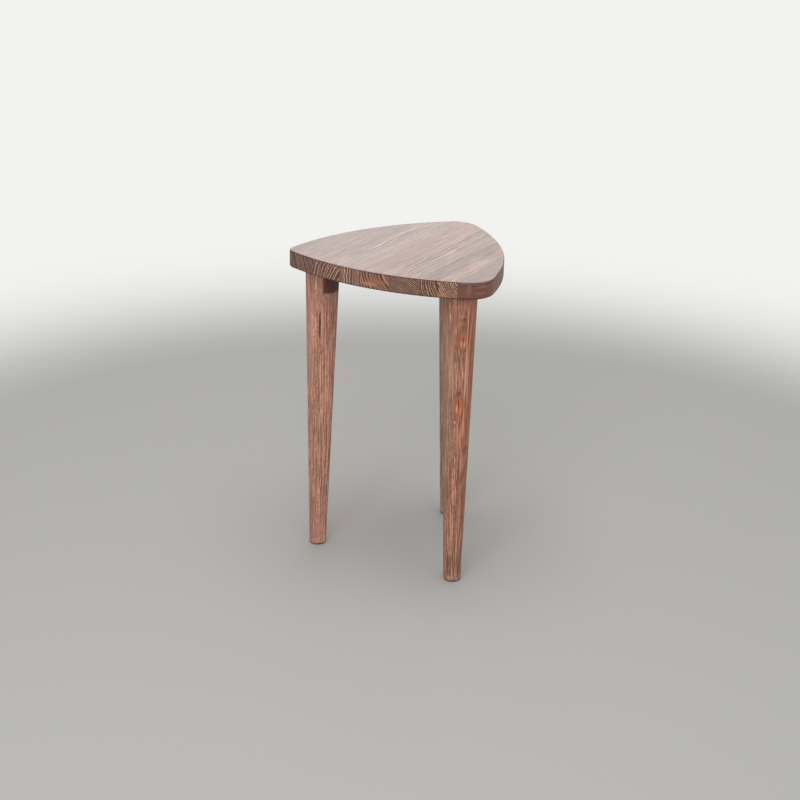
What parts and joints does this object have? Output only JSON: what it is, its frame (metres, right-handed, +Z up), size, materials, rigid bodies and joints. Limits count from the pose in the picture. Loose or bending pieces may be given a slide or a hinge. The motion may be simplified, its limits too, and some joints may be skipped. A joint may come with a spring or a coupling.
{
  "type": "drink table",
  "caption": "Small solid-wood drink table: a plectrum-shaped, edge-glued stave top on slightly splayed, straight-tapered round legs.",
  "frame": {"origin": "on the floor, under the middle of the table's outline box", "axes": "+Z up; +Y along the top's grain, towards the back leg; +X to the right when the end-grain front edge faces the viewer"},
  "size_m": [0.324, 0.3154, 0.483],
  "materials": {
    "top_wood": "walnut-toned stain on brushed softwood, satin",
    "leg_wood": "walnut-toned stain on turned softwood, satin",
    "bolt_steel": "zinc plated, thread rolled",
    "insert_zinc": "die-cast zinc alloy, dull"
  },
  "bodies": {
    "root": {"top_stave_1": "top_wood", "top_stave_2": "top_wood", "top_stave_3": "top_wood", "top_stave_4": "top_wood", "top_stave_5": "top_wood", "top_stave_6": "top_wood", "top_stave_7": "top_wood", "top_stave_8": "top_wood", "leg_back": "leg_wood", "leg_left": "leg_wood", "leg_right": "leg_wood", "hanger_bolt_back": "bolt_steel", "hanger_bolt_left": "bolt_steel", "hanger_bolt_right": "bolt_steel", "threaded_insert_back": "insert_zinc", "threaded_insert_left": "insert_zinc", "threaded_insert_right": "insert_zinc"}
  },
  "joints": []
}
